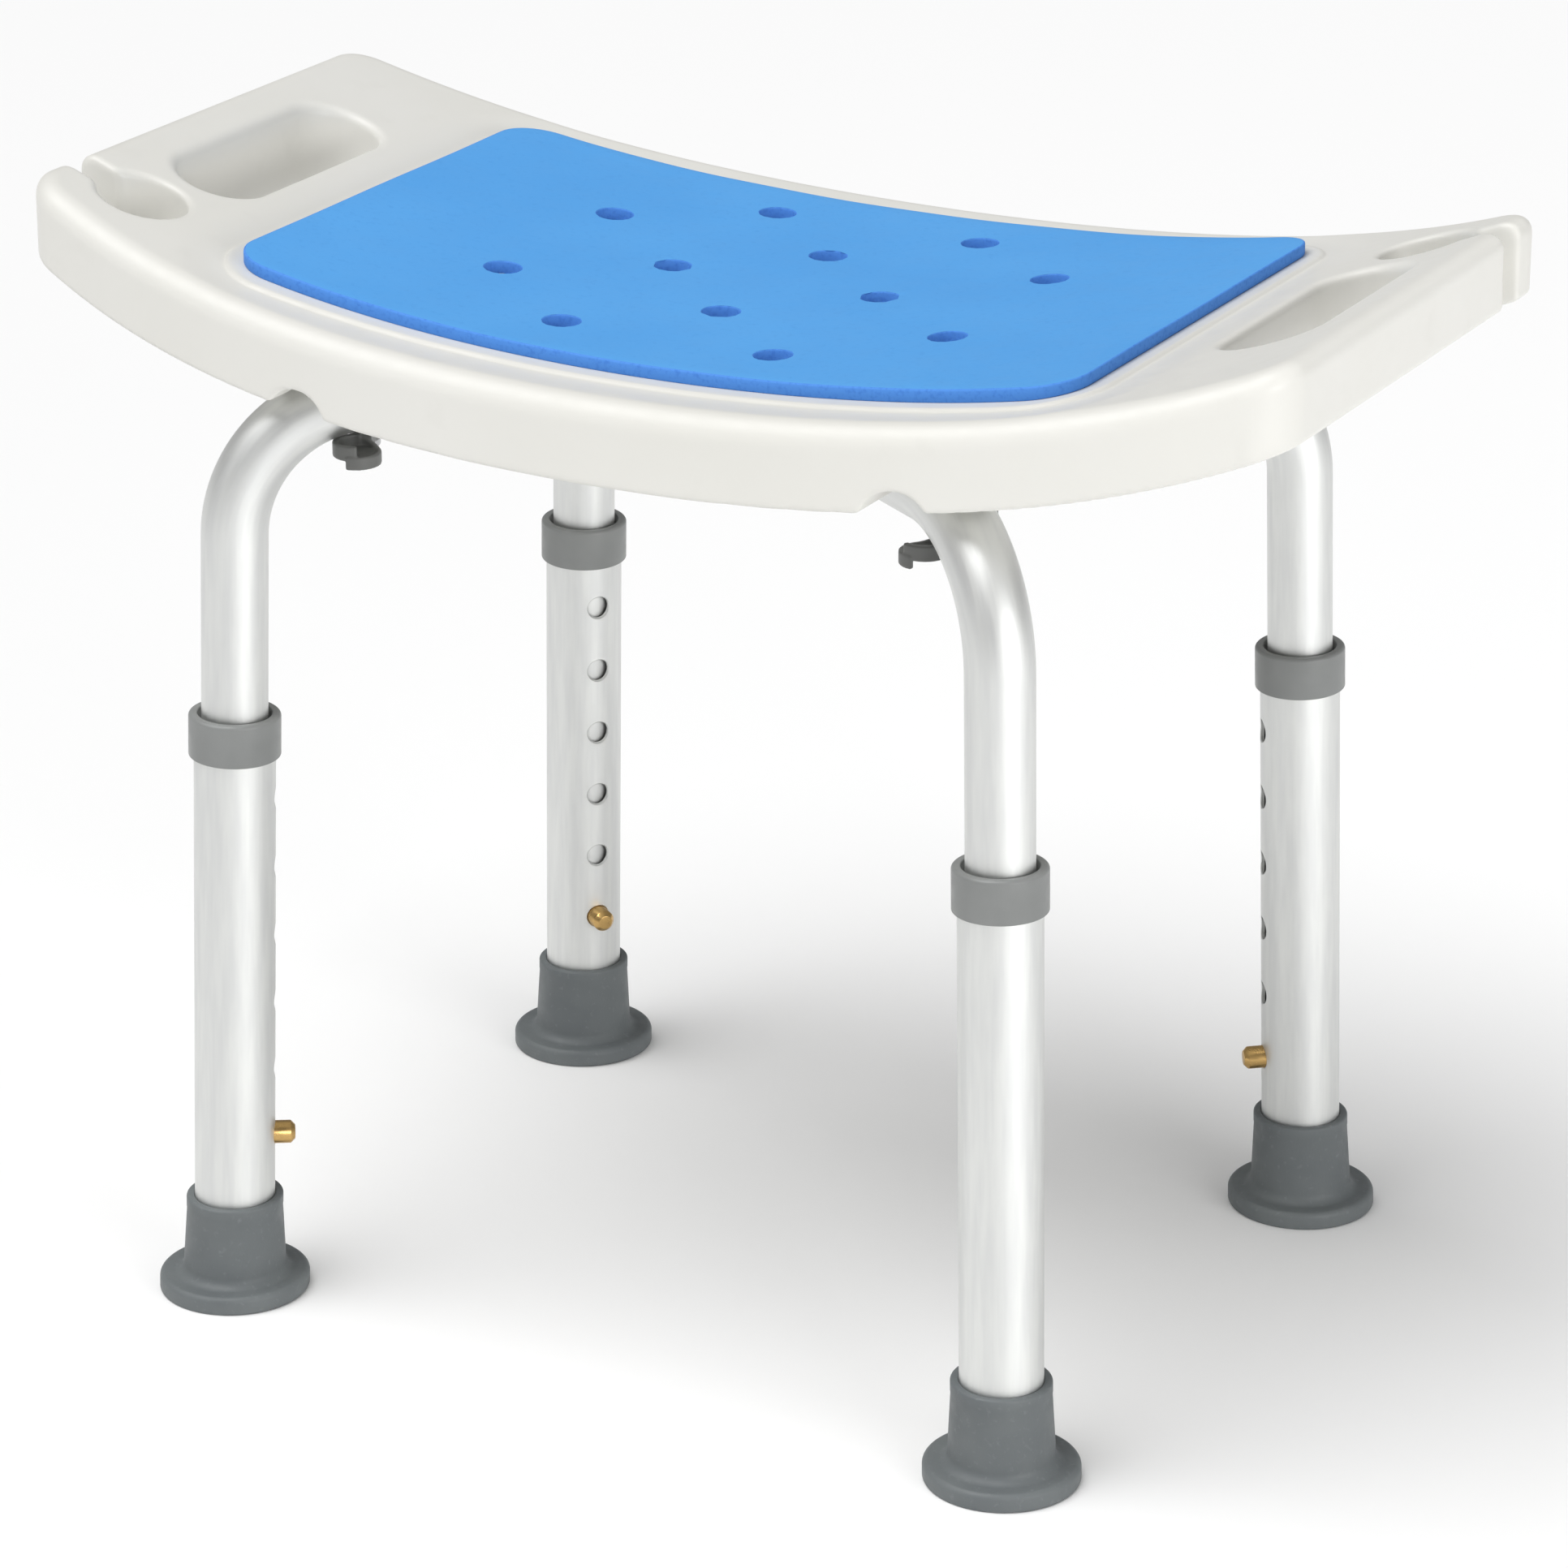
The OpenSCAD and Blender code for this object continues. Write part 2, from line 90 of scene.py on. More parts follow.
DIMPLE = {"r": 10, "from": -5, "depth": 14, "slope": 5 / 19, "cos": 0.967}
RIM_BLEND = (6, 18)
SEAT_STEP = 1.0

# Pad, and the platform and gutter round it
PAD_HALF = 158.0
PAD_DEPTH = 103.5
PAD_BOW = 6.0
PAD_CORNER = 17.0
PAD_T = 4.4
PAD_EDGE = [(0.3, 0.0), (0.0, 0.4), (0.0, PAD_T - 0.7), (0.1, PAD_T - 0.35),
            (0.3, PAD_T - 0.1), (0.7, PAD_T)]
PAD_GRID = 4.0
PAD_HOLE_R = 6.5
PAD_HOLE_FLARE = 0.6
PAD_HOLES = [(x, y) for x, ys in ((-85, (-38, 38)), (-40, (-75, 0, 75)), (0, (-38, 38)),
                                  (40, (-75, 0, 75)), (85, (-38, 38))) for y in ys]
PLATFORM_MARGIN = 7.0
GUTTER_D = 1.1
GUTTER_W = 18.0

# Legs, along each leg's own axis from its foot
SPLAY = math.radians(1.9)
BEND_DIR = math.radians(36)
UPPER_R, UPPER_WALL, UPPER_SIDES = 11.5, 1.3, 88
UPPER_FROM, BEND_FROM, BEND_R, RUN_LEN = 40.0, 281.4, 49.0, 95.0
RUN_Z = BEND_FROM + BEND_R
LOWER_R, LOWER_WALL = 14.15, 1.4
LOWER_FROM, LOWER_TO = 4.5, 213.0
LOWER_SIDES, ROW_STEP = 72, 7.0
HOLE_R, LOWEST_HOLE, HOLE_PITCH, HOLE_COUNT = 4.2, 58.8, 25.4, 6
HOLE_HEIGHTS = [LOWEST_HOLE + n * HOLE_PITCH for n in range(HOLE_COUNT)]
HOLE_SIDES, HOLE_SINK = 40, 0.35
HOLE_MARGIN = 1.2
SLEEVE_FROM, SLEEVE_GAP = 193.0, 0.12
COLLAR_R, COLLAR_FROM, COLLAR_TO = 15.95, 201.8, 217.2
FOOT_R, FOOT_H, FLANGE_H = 26.6, 35.9, 6.5
FOOT_WAIST_R, FOOT_TOP_R, FOOT_FILLET = 18.1, 16.6, 3.6
TREAD_RINGS, TREAD_DEPTH = (7.0, 12.0, 17.0, 22.0), 1.0
BUTTON_R, BUTTON_TIP = 4.1, LOWER_R + 7.0
BUTTON_FLANGE_R, BUTTON_FROM, BUTTON_FLANGE_TO = 5.3, 6.8, 8.6
LATCH = {"x": 56.0, "y": 17.4, "turn": math.radians(-12), "reach": 23.9, "hub_r": 5.0,
         "top": 332.4, "low": 308.4, "arm_t": 5.6, "arm_w": 8.0, "hook_r": 8.5, "hook_t": 2.0,
         "finger_low": 306.6, "finger_h": 4.6, "back_low": 309.6, "web_t": 1.2, "bore_r": 2.6,
         "rise_arc": (20, 95), "finger_arc": (-7, 102), "back_arc": (182, 98), "step": 0.4}
LATCH_MESH_STEP = 0.5


def edge_y(x):
    """Half the seat's depth at x."""
    t = x / END_X
    return HALF_DEPTH - EDGE_DRAW[0] * t**2 - EDGE_DRAW[1] * t**4


def edge_slope(x):
    """How fast the seat's edge draws in at x."""
    t = x / END_X
    return (2 * EDGE_DRAW[0] * t + 4 * EDGE_DRAW[1] * t**3) / END_X


def under_z(x):
    """Height of the seat's lower rim at x: the saddle's curve."""
    t = x / END_X
    return UNDER_Z + SADDLE_RISE[0] * t**2 + SADDLE_RISE[1] * t**4


# ---- mesh tools -------------------------------------------------------------------------

def piece(name, points, faces, body, materials, replaces=(), sharp=35, face_material=None):
    """A mesh piece from points in millimetres, riding on a CAD body."""
    mesh = bpy.data.meshes.new(name)
    mesh.from_pydata((np.asarray(points, float) * MM).tolist(), [], [list(f) for f in faces])
    mesh.validate()
    mesh.shade_smooth()
    mesh.set_sharp_from_angle(angle=math.radians(sharp))
    for m in materials:
        mesh.materials.append(m)
    if face_material is not None:
        mesh.polygons.foreach_set("material_index", np.asarray(face_material, np.int32))
    obj = bpy.data.objects.new(name, mesh)
    bpy.context.scene.collection.objects.link(obj)
    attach(obj, body)
    if replaces:
        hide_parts(*replaces)
    return obj


def store(obj, name, values):
    """Keeps a vector with each vertex, for the materials to read."""
    layer = obj.data.attributes.new(name, "FLOAT_VECTOR", "POINT")
    layer.data.foreach_set("vector", np.asarray(values, np.float32).ravel())


def ring_faces(rings, count, closed=False):
    """Quads between successive rings of count points each."""
    faces = []
    for k in range(rings if closed else rings - 1):
        a, b = k * count, (k + 1) % rings * count
        for i in range(count):
            j = (i + 1) % count
            faces.append((a + i, a + j, b + j, b + i))
    return faces


def lathe(profile, count=96):
    """A closed solid from (radius, height) points going round its section anticlockwise.

    The section is a loop off the axis, or it starts and ends on the axis."""
    angles = turns(count)
    on_axis = profile[0][0] == 0
    loop = profile[1:-1] if on_axis else profile
    points = [(r * math.cos(a), r * math.sin(a), h) for r, h in loop for a in angles]
    faces = ring_faces(len(loop), count, closed=not on_axis)
    if on_axis:
        low, high = len(points), len(points) + 1
        points += [(0, 0, profile[0][1]), (0, 0, profile[-1][1])]
        last = (len(loop) - 1) * count
        for i in range(count):
            j = (i + 1) % count
            faces.append((low, j, i))
            faces.append((high, last + i, last + j))
    return np.array(points), faces


def turns(count, direction=1):
    """Angles of count points once round a circle."""
    return np.linspace(0, direction * math.tau, count, endpoint=False)


def arc(cx, cy, r, start, end, steps=6):
    """Points of an arc in a section, from one angle in degrees to another."""
    return [(cx + r * math.cos(math.radians(a)), cy + r * math.sin(math.radians(a)))
            for a in np.linspace(start, end, steps + 1)]


def round_and(a, b, r):
    """Where both fields are inside, with the edge between them rounded to radius r."""
    return np.minimum(np.maximum(a, b), -r) + np.hypot(np.maximum(a + r, 0), np.maximum(b + r, 0))


def round_or(a, b, r):
    """Where either field is inside, with the corner between them filled to radius r."""
    return -round_and(-a, -b, r)


def round_cut(a, b, r):
    """The first field with the second cut out of it, and a rounded edge."""
    return round_and(a, -b, r)


def smoothstep(low, high, x):
    """0 at low, 1 at high and smooth between. High may be the smaller of the two."""
    t = np.clip((x - low) / (high - low), 0, 1)
    return t * t * (3 - 2 * t)


def surface_of(field, low, high, step):
    """The zero surface of a distance field as a closed quad mesh, one vertex to a cell."""
    axes = [np.arange(a - 2 * step, b + 3 * step, step) for a, b in zip(low, high)]
    grid = np.stack(np.meshgrid(*axes, indexing="ij"), -1)
    value = field(grid[..., 0], grid[..., 1], grid[..., 2])
    inside = value < 0
    cells = tuple(n - 1 for n in value.shape)
    total, hits = np.zeros(cells + (3,)), np.zeros(cells)
    crossings = []
    for k in range(3):
        first = np.take(value, range(value.shape[k] - 1), axis=k)
        second = np.take(value, range(1, value.shape[k]), axis=k)
        crossed = (first < 0) != (second < 0)
        share = np.where(crossed, first / np.where(crossed, first - second, 1), 0)
        point = np.take(grid, range(value.shape[k] - 1), axis=k).copy()
        point[..., k] += share * step
        point *= crossed[..., None]
        u, v = (k + 1) % 3, (k + 2) % 3
        for i in (0, 1):
            for j in (0, 1):
                part = [slice(None)] * 3
                part[u] = slice(i, i + cells[u])
                part[v] = slice(j, j + cells[v])
                total += point[tuple(part)]
                hits += crossed[tuple(part)]
        crossings.append(crossed)
    used = hits > 0
    index = np.full(cells, -1)
    index[used] = np.arange(used.sum())
    points = total[used] / hits[used][:, None]
    faces = []
    for k in range(3):
        u, v = (k + 1) % 3, (k + 2) % 3
        at = np.argwhere(crossings[k])
        at = at[(at[:, u] > 0) & (at[:, v] > 0) & (at[:, u] < cells[u]) & (at[:, v] < cells[v])]
        corners = []
        for i, j in ((-1, -1), (0, -1), (0, 0), (-1, 0)):
            cell = at.copy()
            cell[:, u] += i
            cell[:, v] += j
            corners.append(index[tuple(cell.T)])
        quads = np.stack(corners, 1)
        outward = inside[tuple(at.T)]
        faces.append(np.where(outward[:, None], quads, quads[:, ::-1]))
    return settle(field, points, step), np.concatenate(faces)


def settle(field, points, step, rounds=4, eps=0.02):
    """Moves points onto the field's zero surface."""
    for _ in range(rounds):
        slope = np.stack([
            (field(*(points + eps * e).T) - field(*(points - eps * e).T)) / (2 * eps)
            for e in np.eye(3)], 1)
        size = np.maximum((slope**2).sum(1), 0.2)
        move = (field(*points.T) / size)[:, None] * slope
        points = points - np.clip(move, -step / 2, step / 2)
    return points


# ---- legs' frames -----------------------------------------------------------------------

def joint_axis(name):
    """Direction of a joint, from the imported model."""
    return Vector(next(j["axis"] for j in frame["joints"] if j["name"] == name)).normalized()


def foot_point(corner):
    """Middle of a foot's base, from the record's mounts."""
    return Vector(next(m["pos_m"] for m in RECORD["mounts"]
                       if m["name"] == corner + "_foot_base")) / MM


def on_leg(points, corner):
    """Points from a leg's own frame: +Z up the leg, +X towards the middle of the stool."""
    up = -joint_axis(corner + "_leg_height")
    inward = -joint_axis(corner + "_button_press")
    across = up.cross(inward)
    return np.asarray(points) @ np.array([inward, across, up]) + np.array(foot_point(corner))


def upright_at(points, corner, handed=False):
    """The same with +Z straight up. A handed piece is mirrored on two of the corners."""
    inward = -joint_axis(corner + "_button_press")
    inward = Vector((inward.x, inward.y, 0)).normalized()
    across = Vector((0, 0, 1)).cross(inward)
    if handed and corner in MIRRORED:
        across = -across
    turn = np.array([inward, across, (0, 0, 1)])
    return np.asarray(points) @ turn + np.array(foot_point(corner))


def flipped(faces, corner):
    """Faces turned round on the corners where a handed piece is mirrored."""
    return [tuple(reversed(f)) for f in faces] if corner in MIRRORED else faces


# ---- materials --------------------------------------------------------------------------

def srgb(*rgb):
    """Linear colour of a screen colour with components from 0 to 255."""
    return tuple(((c / 255 + 0.055) / 1.055) ** 2.4 if c > 10 else c / 3294 for c in rgb)


class Surface:
    """A Principled material built from a few procedural layers."""

    def __init__(self, name, colour, roughness, **sockets):
        self.material = bpy.data.materials.new(name)
        self.material.use_nodes = True
        self.tree = self.material.node_tree
        self.shader = self.tree.nodes["Principled BSDF"]
        self.colour = self.shader.inputs["Base Color"]
        self.colour.default_value = (*colour, 1)
        self.shader.inputs["Roughness"].default_value = roughness
        for socket, value in sockets.items():
            self.shader.inputs[socket.replace("_", " ")].default_value = value
        self.base = colour
        self.coords = self.node("ShaderNodeTexCoord").outputs["Object"]
        self.bump = None

    def node(self, kind, **settings):
        made = self.tree.nodes.new(kind)
        for key, value in settings.items():
            if hasattr(made, key):
                setattr(made, key, value)
            else:
                made.inputs[key].default_value = value
        return made

    def link(self, a, b):
        self.tree.links.new(a, b)

    def stored(self, name):
        """Uses a vector kept on the mesh instead of the object's coordinates."""
        self.coords = self.node("ShaderNodeAttribute", attribute_name=name).outputs["Vector"]
        return self

    def noise(self, scale, detail=3.0, stretch=(1, 1, 1)):
        mapping = self.node("ShaderNodeMapping")
        mapping.inputs["Scale"].default_value = stretch
        self.link(self.coords, mapping.inputs["Vector"])
        noise = self.node("ShaderNodeTexNoise", Scale=scale, Detail=detail)
        self.link(mapping.outputs["Vector"], noise.inputs["Vector"])
        return noise.outputs["Fac"]

    def spread(self, source, low, high, out_low, out_high):
        made = self.node("ShaderNodeMapRange")
        for key, value in zip(("From Min", "From Max", "To Min", "To Max"),
                              (low, high, out_low, out_high)):
            made.inputs[key].default_value = value
        self.link(source, made.inputs["Value"])
        return made.outputs["Result"]

    def tint(self, source, colour, low=0.35, high=0.65, amount=1.0):
        """Shifts the colour towards another one where the source is high."""
        mix = self.node("ShaderNodeMix", data_type="RGBA")
        a, b = [i for i in mix.inputs if i.type == "RGBA"][:2]
        if self.colour.is_linked:
            self.link(self.colour.links[0].from_socket, a)
        else:
            a.default_value = (*self.base, 1)
        b.default_value = (*colour, 1)
        self.link(self.spread(source, low, high, 0, amount), mix.inputs["Factor"])
        self.link([o for o in mix.outputs if o.type == "RGBA"][0], self.colour)
        return self

    def rough(self, source, low, high):
        self.link(self.spread(source, 0.3, 0.7, low, high), self.shader.inputs["Roughness"])
        return self

    def relief(self, source, depth, strength=1.0):
        """Adds a bump, its depth in millimetres."""
        bump = self.node("ShaderNodeBump", Strength=strength, Distance=depth * MM)
        self.link(source, bump.inputs["Height"])
        if self.bump:
            self.link(self.bump, bump.inputs["Normal"])
        self.bump = bump.outputs["Normal"]
        self.link(self.bump, self.shader.inputs["Normal"])
        return self


def seat_plastic():
    s = Surface("seat_plastic", srgb(225, 224, 219), 0.4, Specular_IOR_Level=0.42)
    s.tint(s.noise(9, 2), srgb(222, 221, 215))
    s.tint(s.noise(60, 5), srgb(217, 216, 210), 0.62, 0.8, 0.5)
    s.rough(s.noise(160, 4), 0.34, 0.46)
    s.relief(s.noise(14, 2), 0.4, 0.2)
    s.relief(s.noise(1500, 3), 0.05, 0.3)
    return s.material


def pad_top():
    s = Surface("pad_top", srgb(84, 161, 229), 0.6, Specular_IOR_Level=0.22)
    s.tint(s.noise(14, 3), srgb(88, 165, 232))
    s.tint(s.noise(420, 4), srgb(77, 152, 221), 0.55, 0.75, 0.5)
    s.rough(s.noise(90, 3), 0.52, 0.66)
    s.relief(s.noise(900, 4), 0.1, 0.4)
    s.relief(s.noise(16, 2), 0.4, 0.25)
    return s.material


# The pad's walls: a real cut foam face, rougher and porous, with a darker, bluer colour that is painted shade of
# the pad's sides
def pad_cut_shaded():
    s = Surface("pad_cut_shaded", srgb(84, 147, 230), 0.7, Specular_IOR_Level=0.2)
    s.tint(s.noise(700, 4), srgb(74, 134, 220), 0.5, 0.7)
    s.relief(s.noise(1100, 3), 0.1, 0.5)
    return s.material


def tube_aluminium():
    s = Surface("tube_aluminium", srgb(228, 229, 227), 0.5, Metallic=1.0).stored("drawn")
    s.tint(s.noise(3, 2, (1, 1, 0.1)), srgb(221, 222, 221))
    s.rough(s.noise(12, 4, (1, 1, 0.04)), 0.47, 0.53)
    s.relief(s.noise(45, 3, (1, 1, 0.02)), 0.01, 0.04)
    return s.material


def moulded(name, colour, darker, roughness, grain=900):
    s = Surface(name, colour, roughness, Specular_IOR_Level=0.45)
    s.tint(s.noise(40, 3), darker)
    s.rough(s.noise(220, 4), roughness - 0.06, roughness + 0.08)
    s.relief(s.noise(grain, 3), 0.06, 0.4)
    return s.material


def foot_rubber():
    s = Surface("foot_rubber", srgb(108, 113, 114), 0.55, Specular_IOR_Level=0.4)
    s.tint(s.noise(35, 4), srgb(99, 104, 106))
    s.tint(s.noise(500, 4), srgb(129, 133, 135), 0.6, 0.8, 0.5)
    s.rough(s.noise(150, 4), 0.45, 0.62)
    s.relief(s.noise(1200, 3), 0.08, 0.5)
    return s.material


def metal(name, colour, roughness, scale):
    s = Surface(name, colour, roughness, Metallic=1.0)
    s.tint(s.noise(60, 3), tuple(0.85 * c for c in colour))
    s.rough(s.noise(scale, 4), roughness - 0.06, roughness + 0.1)
    s.relief(s.noise(scale, 3), 0.02, 0.4)
    return s.material


SEAT = seat_plastic()
PAD_TOP = pad_top()
PAD_CUT_SHADED = pad_cut_shaded()
TUBE = tube_aluminium()
COLLAR = moulded("collar_plastic", srgb(134, 136, 135), srgb(126, 128, 127), 0.38)
RUBBER = foot_rubber()
NYLON = moulded("latch_plastic", srgb(104, 105, 103), srgb(94, 95, 93), 0.4)
BUSH = moulded("bush_plastic", srgb(222, 222, 218), srgb(210, 210, 204), 0.45)
BRASS = metal("button_brass", srgb(204, 168, 108), 0.28, 300)
STEEL = metal("screw_steel", srgb(196, 197, 198), 0.26, 400)
SPRING = metal("spring_steel", srgb(168, 170, 174), 0.32, 400)
CAD_LOOKS = {
    "tube_end_plug": COLLAR, "guide_bush": BUSH, "foot_washer": STEEL, "button_spring": SPRING,
    "tube_keeper": NYLON, "latch_screws": STEEL, "keeper_screws": STEEL,
}


# ---- seat -------------------------------------------------------------------------------

def saddle_outline(half, depth, bow, corner, ax, ay):
    """Distance outside a rectangle with bowed long edges and round corners."""
    bow_r = (PAD_HALF**2 + bow**2) / (2 * bow)
    long_edge = np.hypot(ax, ay - depth + bow_r) - bow_r
    return round_and(ax - half, long_edge, corner)


def leg_coords(ax, ay, z):
    """Along and above the bent tube of the nearest leg, and across it."""
    foot = foot_point("back_right")
    dx, dy = ax - foot.x, ay - foot.y
    along = -dx * math.cos(BEND_DIR) - dy * math.sin(BEND_DIR)
    across = dx * math.sin(BEND_DIR) - dy * math.cos(BEND_DIR)
    return (along * math.cos(SPLAY) - z * math.sin(SPLAY), across,
            along * math.sin(SPLAY) + z * math.cos(SPLAY))


def seat_corner():
    """How far the seat's outline turns at a corner, and the middle of the corner's arc."""
    cx = END_X - CORNER_R
    turn = math.pi / 2 - math.atan(edge_slope(cx + CORNER_R / 3))
    return turn, cx, edge_y(cx + CORNER_R * math.cos(turn)) - CORNER_R * math.sin(turn)


def seat_field(x, y, w):
    """Distance field of the seat, laid flat: w is the height above the lower rim."""
    ax, ay = np.abs(x), np.abs(y)
    z = w + under_z(x)
    side = np.maximum(ax - END_X, (ay - edge_y(x)) / np.hypot(1, edge_slope(ax)))
    turn, cx, cy = seat_corner()
    angle = np.arctan2(ay - cy, ax - cx)
    corner = np.hypot(ax - cx, ay - cy) - CORNER_R
    side = np.where((angle > 0) & (angle < turn), corner, side)
    outside = saddle_outline(PAD_HALF + PLATFORM_MARGIN, PAD_DEPTH + PLATFORM_MARGIN, PAD_BOW,
                             PAD_CORNER + PLATFORM_MARGIN, ax, ay)
    sunk = GUTTER_D * smoothstep(-0.5, 0.7, outside) * smoothstep(GUTTER_W, 3, outside)
    body = round_and(side, w - RIM_H + sunk, TOP_EDGE_R)
    body = round_and(body, -w, UNDER_EDGE_R)

    high = smoothstep(*RIM_BLEND, w)
    reach = np.maximum(ay - (HAND_HOLD["len"] - HAND_HOLD["w"]) / 2, 0)
    hand_hold = np.hypot(ax - HAND_HOLD["x"], reach) - HAND_HOLD["w"] / 2
    body = round_cut(body, hand_hold, 1.5 + (HAND_HOLD["rim"] - 1.5) * high)

    turn = np.where(x < 0, -1, 1)
    hx, hy = x * turn - HOLDER["x"], y * turn - HOLDER["y"]
    slot = np.maximum(np.abs(hy) - HOLDER["slot"], -hx)
    holder = round_or(np.hypot(hx, hy) - HOLDER["r"], slot, 2.5)
    body = round_cut(body, holder, 1.3 + (HOLDER["rim"] - 1.3) * high)

    arch_z = under_z(ARCH["x"]) + ARCH["rise"] - ARCH["r"]
    arch = np.hypot(ax - ARCH["x"], z - arch_z) - ARCH["r"]
    body = round_cut(body, round_and(arch, ARCH["from_y"] - ay, 3), 1.5)

    along, across, above = leg_coords(ax, ay, z)
    trough = np.hypot(across, np.maximum(above - RUN_Z, 0)) - CHANNEL["r"]
    ends = np.maximum(along - CHANNEL["end"], CHANNEL["start"] - along)
    body = round_cut(body, round_and(trough, ends, 3), 1.5)

    for px, py in DIMPLES:
        taper = DIMPLE["slope"] * (w - DIMPLE["from"])
        cone = (np.hypot(ax - px, ay - py) - DIMPLE["r"] + taper) * DIMPLE["cos"]
        body = round_cut(body, round_and(cone, w - DIMPLE["depth"], 3), 2)
    return body


def make_seat():
    """The moulding, meshed flat and then bent to the saddle's curve."""
    points, faces = surface_of(seat_field, (-END_X, -HALF_DEPTH, 0), (END_X, HALF_DEPTH, RIM_H),
                               SEAT_STEP)
    points[:, 2] += under_z(points[:, 0])
    piece("seat_moulding", points, faces, "seat_frame", [SEAT],
          ["seat_shell"], sharp=80)


# ---- pad --------------------------------------------------------------------------------

def pad_ring(inset):
    """The pad's outline moved in by inset, anticlockwise."""
    half, r = PAD_HALF - inset, PAD_CORNER - inset
    top = PAD_DEPTH - inset
    bow_r = (PAD_HALF**2 + PAD_BOW**2) / (2 * PAD_BOW)
    cx = half - r
    centre_y = top - bow_r
    turn = 90 - math.degrees(math.asin(cx / (bow_r - r)))
    cy = centre_y + math.sqrt((bow_r - r)**2 - cx**2)
    quarter = [(half, y) for y in np.linspace(0, cy, 20, endpoint=False)]
    quarter += arc(cx, cy, r, 0, turn, 12)
    edge_x = np.linspace(quarter[-1][0], 0, 42)[1:-1]
    quarter += [(x, centre_y + math.sqrt(bow_r**2 - x**2)) for x in edge_x]
    back = [(-x, y) for x, y in reversed(quarter)]
    middle = [(0, centre_y + bow_r)]
    right_to_left = quarter + middle + back
    front = [(-x, -y) for x, y in right_to_left[1:-1]]
    return right_to_left + front


def cap(rings, inner, low):
    """Triangles that fill between closed rings, with extra points inside. low turns them over."""
    flat = [p for ring in rings for p in ring] + list(inner)
    edges, start = [], 0
    for ring in rings:
        n = len(ring)
        edges += [(start + i, start + (i + 1) % n) for i in range(n)]
        start += n
    out = delaunay_2d_cdt([Vector(p[:2]) for p in flat], edges, [], 0, 1e-5)
    tris = [tuple(out[3][v][0] for v in f) for f in out[2]]
    return [tuple(reversed(t)) for t in tris] if low else tris


def pad_inside(x, y, margin):
    """Whether a point is in the pad, at least margin from its edge and its holes."""
    edge = saddle_outline(PAD_HALF, PAD_DEPTH, PAD_BOW, PAD_CORNER, abs(x), abs(y)) < -margin
    return edge and all(math.hypot(x - a, y - b) > PAD_HOLE_R + margin for a, b in PAD_HOLES)


def pad_walls():
    """Walls of the pad and of its holes: points, faces, and each wall's start and side count."""
    around = turns(48, -1)
    outlines = [[pad_ring(inset) for inset, _ in PAD_EDGE]]
    for cx, cy in PAD_HOLES:
        radii = [PAD_HOLE_R + PAD_HOLE_FLARE * inset for inset, _ in PAD_EDGE]
        outlines.append([[(cx + r * math.cos(a), cy + r * math.sin(a)) for a in around]
                         for r in radii])
    points, faces, walls = [], [], []
    for outline in outlines:
        base, count = len(points), len(outline[0])
        walls.append((base, count))
        for (_, h), ring in zip(PAD_EDGE, outline):
            points += [(x, y, h) for x, y in ring]
        faces += [tuple(base + i for i in f) for f in ring_faces(len(PAD_EDGE), count)]
    return points, faces, walls


def pad_sheet(points, walls, level, low):
    """Faces of the pad's underside or top. Adds the points inside it to points."""
    reach_x, reach_y = PAD_HALF - 2, PAD_DEPTH - 5.5
    grid = [(x, y) for x in np.arange(-reach_x, reach_x + 1, PAD_GRID)
            for y in np.arange(-reach_y, reach_y + 1, PAD_GRID) if pad_inside(x, y, 3.2)]
    spans = [range(base + level * count, base + (level + 1) * count) for base, count in walls]
    rings = [[points[i] for i in span] for span in spans]
    indexes = [i for span in spans for i in span]
    indexes += range(len(points), len(points) + len(grid))
    points += [(x, y, PAD_EDGE[level][1]) for x, y in grid]
    faces = [[indexes[v] for v in tri] for tri in cap(rings, grid, low)]
    return [f for f in faces if pad_inside(*np.mean([points[v][:2] for v in f], axis=0), 0)]


def make_pad():
    """A foam sheet with softened edges, cut through by drain holes."""
    points, faces, walls = pad_walls()
    cut_faces = len(faces)
    faces += pad_sheet(points, walls, 0, True)
    faces += pad_sheet(points, walls, len(PAD_EDGE) - 1, False)
    points = np.array(points)
    x, y = points[:, 0], points[:, 1]
    top = points[:, 2] / PAD_T
    # A gentle unevenness of the foam's top, fading to none at its underside
    soft = np.sin(x / 23) * np.cos(y / 19 + x / 60) + 0.6 * np.sin(x / 9 + y / 13)
    points[:, 2] += RIM_H + 0.05 + under_z(x) + 0.1 * top * soft
    # Walls and hole walls take the cut material, whose darker colour is painted shade; the top and underside take
    # the top material
    looks = [1] * cut_faces + [0] * (len(faces) - cut_faces)
    pad = piece("foam_pad", points, faces, "seat_frame", [PAD_TOP, PAD_CUT_SHADED],
                ["seat_pad"], sharp=50, face_material=looks)


# ---- tubes ------------------------------------------------------------------------------

def make_upper_tube(corner):
    """Straight length, bend and run as one swept tube, open at both ends."""
    count = UPPER_SIDES
    line = [(0.0, s, 0.0) for s in np.linspace(UPPER_FROM, BEND_FROM, 12)]
    for a in np.linspace(0, 90, 33)[1:]:
        t = math.radians(a)
        line.append((BEND_R * (1 - math.cos(t)), BEND_FROM + BEND_R * math.sin(t), t))
    line += [(BEND_R + s, RUN_Z, math.pi / 2) for s in np.linspace(0, RUN_LEN, 6)[1:]]
    angles = turns(count)
    points, drawn = [], []
    length, last = 0.0, line[0]
    inner = UPPER_R - UPPER_WALL
    for r, route in ((UPPER_R, line), (inner, list(reversed(line)))):
        for x, z, t in route:
            length += math.hypot(x - last[0], z - last[1])
            last = (x, z)
            for a in angles:
                side = r * math.cos(a)
                points.append((x + side * math.cos(t), r * math.sin(a), z - side * math.sin(t)))
                drawn.append((r * math.cos(a), r * math.sin(a), length))
    faces = ring_faces(2 * len(line), count, closed=True)
    obj = piece("upper_tube_piece_" + corner, on_leg(points, corner), faces, "seat_frame",
                [TUBE], ["upper_tube_" + corner], sharp=40)
    store(obj, "drawn", np.array(drawn) / 10)


